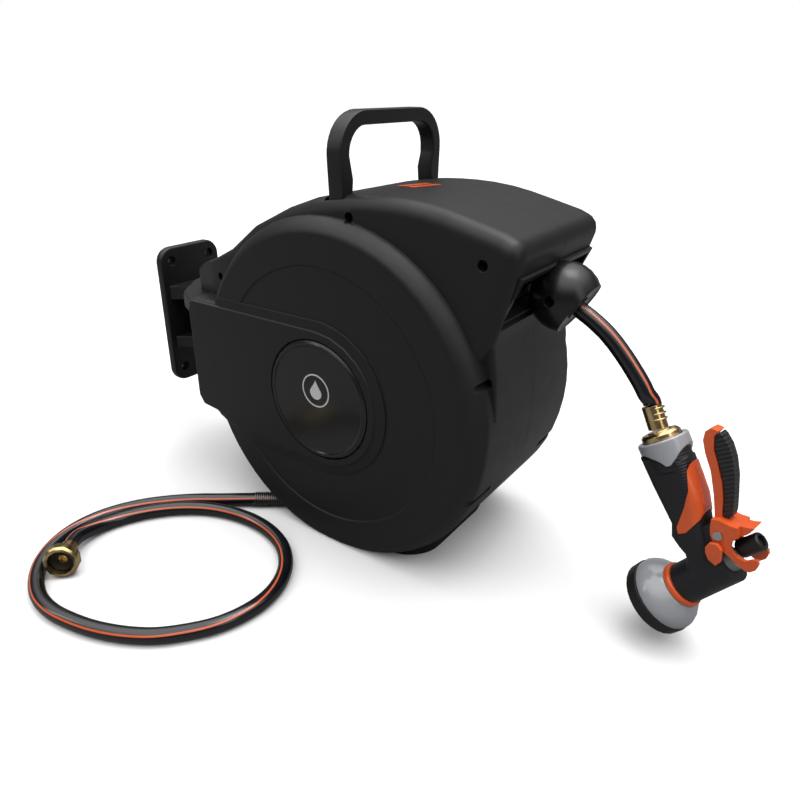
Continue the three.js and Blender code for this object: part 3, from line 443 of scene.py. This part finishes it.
slotOf = {s["node"]: s["material_slot"] for s in frame["record"]["subparts"]}
done = {"lead_in_hose", "outlet_hose", "inner_hose", "guard_spring"}
softSet = {"case_left": 1.0, "case_right": 1.0, "carry_handle": 1.2, "wall_bracket": 0.9,
           "base_foot": 0.8, "hub_cap_left": 0.4, "hub_cap_right": 0.4, "outlet_frame": 0.6,
           "ball_stop_near": 0.7, "ball_stop_far": 0.7, "nozzle_body": 1.0, "trigger_lever": 1.0,
           "lever_pad": 0.8, "nozzle_collar": 0.5, "head_dial": 0.6, "face_ring": 0.6,
           "spray_plate": 0.3, "head_ring": 0.5, "grip_inlay": 0.4, "valve_pin_cap": 0.4,
           "flow_knob": 0.4, "barrel_cap": 0.4, "nozzle_nut": 0.4, "nozzle_ferrule": 0.3,
           "swivel_nut": 0.5, "lead_in_ferrule": 0.3, "lead_in_tail": 0.2, "nut_washer": 0.3,
           "inlet_gland": 0.4, "roller_upper": 0.3, "roller_lower": 0.3, "pivot_pin": 0.3,
           "lever_pin": 0.2}
for node, width in softSet.items():
    softened(node, width)
    done.add(node)
for node, piece in nodes.items():             # inner pieces keep the frame's own mesh
    if node not in done:
        piece.data.materials.clear()
        piece.data.materials.append(finishes[slotOf[node] if slotOf[node] != "hose_skin" else "seal_rubber"])
bpy.data.objects["lever_pad_shaped"].data.materials[0] = finishes["ribbed_pad"]
print("shaped pieces", len(softSet))

# crimped bands on the nozzle's brass ferrule
bandSet = {"radius": 9.0, "wire": 0.75, "places": (3.2, 8.4, 13.6), "steps": 32}
bandRadius = bandSet["radius"] / nozzleSet["size"]
across = Vector((0, 1, 0))
up = ferruleWay.cross(across)
for i, far in enumerate(bandSet["places"]):
    middle = ferruleTop + ferruleWay * far
    angles = [k / bandSet["steps"] * 2 * math.pi for k in range(bandSet["steps"] + 1)]
    loop = [onNozzle(*(middle + (across * math.cos(a) + up * math.sin(a)) * bandRadius)) for a in angles]
    band = tubeAlong("ferrule_band_%d" % (i + 1), loop, bandSet["wire"] * 0.001, sides=3)
    dress(band, "case", "brass")

# printed marks: a ring with a water drop on each hub cap, and a short double bar on the hood
markSet = {"ring": (17.0, 18.6), "drop": 8.0, "sunk": 1.0, "raised": 12.0, "deep": 0.25,
           "bars": (41, 53), "bar": (4.2, 17), "slant": 12.0, "hoodTop": 212.05}


def printed(name, bm, place, turn, finish):
    bm.transform(Matrix.Translation(place) @ turn.to_4x4())
    bmesh.ops.recalc_face_normals(bm, faces=bm.faces)
    mesh = bpy.data.meshes.new(name)
    bm.to_mesh(mesh)
    bm.free()
    piece = bpy.data.objects.new(name, mesh)
    scene.collection.objects.link(piece)
    mesh.materials.append(finishes[finish])
    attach(piece, "case")


def thick(bm):                                # a flat outline made into a thin raised plate
    grown = bmesh.ops.extrude_face_region(bm, geom=bm.faces[:])
    moved = [v for v in grown["geom"] if isinstance(v, bmesh.types.BMVert)]
    bmesh.ops.translate(bm, vec=(0, 0, markSet["deep"] * 0.001), verts=moved)


for side, sideName in ((-1, "left"), (1, "right")):
    capLow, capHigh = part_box("hub_cap_" + sideName)
    face = capLow.y if side < 0 else capHigh.y
    place = Vector(((capLow.x + capHigh.x) / 2, face - side * markSet["sunk"] * 0.001,
                    (capLow.z + capHigh.z) / 2 + markSet["raised"] * 0.001))
    turn = Matrix(((-side, 0, 0), (0, 0, side), (0, 1, 0)))      # faces outwards, its top up
    bm = bmesh.new()
    for edgeRadius in markSet["ring"]:
        bmesh.ops.create_circle(bm, segments=72, radius=edgeRadius * 0.001)
    bmesh.ops.bridge_loops(bm, edges=bm.edges[:])
    thick(bm)
    printed("hub_ring_" + sideName, bm, place, turn, "white_print")
    bm = bmesh.new()
    dropRadius = markSet["drop"] * 0.001
    bmesh.ops.create_circle(bm, segments=48, radius=dropRadius, cap_ends=True)
    for vert in bm.verts:                     # a circle drawn up into a point
        rise = max(0.0, vert.co.y / dropRadius)
        vert.co.x *= (1 - rise ** 1.6) ** 0.8 if rise < 1 else 0
        vert.co.y = vert.co.y * (1 + 0.75 * rise) - 0.002
    bmesh.ops.remove_doubles(bm, verts=bm.verts, dist=1e-6)
    thick(bm)
    printed("hub_drop_" + sideName, bm, place, turn, "white_print")

for i, x in enumerate(markSet["bars"]):
    bm = bmesh.new()
    bmesh.ops.create_grid(bm, x_segments=2, y_segments=2, size=0.5)
    for vert in bm.verts:
        vert.co.x = vert.co.x * markSet["bar"][0] * 0.002 + vert.co.y * markSet["slant"] * 0.001
        vert.co.y = vert.co.y * markSet["bar"][1] * 0.002
    thick(bm)
    printed("hood_bar_%d" % (i + 1), bm, at(x, 0, markSet["hoodTop"]), Matrix.Identity(3), "orange_plastic")
print("printed marks ready")


# floor and light
def floorFinish():                            # pale to the camera, darker to bounced light
    material, tree, shader = newFinish("pale floor")
    shader.inputs["Roughness"].default_value = 0.9
    shader.inputs["Specular IOR Level"].default_value = 0.1
    cloud = grain(tree, 3, 2.0)
    pale = tint(tree, cloud, (0.86, 0.86, 0.86), (0.88, 0.88, 0.88))
    seen = addNode(tree, "ShaderNodeLightPath")
    pick = addNode(tree, "ShaderNodeMix", data_type="RGBA")
    tree.links.new(seen.outputs["Is Camera Ray"], pick.inputs["Factor"])
    pick.inputs[mixFirst].default_value = (0.20, 0.20, 0.20, 1)
    tree.links.new(pale, pick.inputs[mixSecond])
    tree.links.new(pick.outputs[mixResult], shader.inputs["Base Color"])
    return material


bm = bmesh.new()
bmesh.ops.create_grid(bm, x_segments=1, y_segments=1, size=12)
floorMesh = bpy.data.meshes.new("floor")
bm.to_mesh(floorMesh)
bm.free()
floor = bpy.data.objects.new("floor", floorMesh)
floorMesh.materials.append(floorFinish())
scene.collection.objects.link(floor)
print("floor laid")

# a plain studio: bright from above, dim from the sides, and white behind the object
skySet = {"above": 2.4, "around": 0.12, "start": 0.45, "end": 0.85}
world = bpy.data.worlds.new("studio")
scene.world = world
world.use_nodes = True
sky = world.node_tree
background = sky.nodes["Background"]
background.inputs["Color"].default_value = (1, 1, 1, 1)
direction = addNode(sky, "ShaderNodeTexCoord")
parts = addNode(sky, "ShaderNodeSeparateXYZ")
sky.links.new(direction.outputs["Generated"], parts.inputs["Vector"])
glow = spread(sky, parts.outputs["Z"], skySet["around"], skySet["above"], skySet["start"], skySet["end"])
seen = addNode(sky, "ShaderNodeLightPath")
pick = addNode(sky, "ShaderNodeMix", data_type="FLOAT")
sky.links.new(seen.outputs["Is Camera Ray"], pick.inputs["Factor"])
sky.links.new(glow, pick.inputs[2])
pick.inputs[3].default_value = 1.0
sky.links.new(pick.outputs[0], background.inputs["Strength"])


def softbox(name, place, target, size, power):
    light = bpy.data.objects.new(name, bpy.data.lights.new(name, "AREA"))
    light.data.shape = "RECTANGLE"
    light.data.size, light.data.size_y = size
    light.data.energy = power
    light.location = place
    light.rotation_euler = (Vector(target) - Vector(place)).to_track_quat("-Z", "Y").to_euler()
    scene.collection.objects.link(light)


lightSet = {"top": ((0.5, 0.3, 2.2), (1.0, 1.0), 14), "right": ((2.0, -0.6, 1.1), (0.6, 1.2), 3),
            "left": ((-1.5, -1.6, 1.4), (0.4, 1.0), 4)}
for name, (place, size, power) in lightSet.items():
    softbox(name + "_light", place, (0.07, 0, 0.2), size, power)
print("lights set,", len(lightSet))
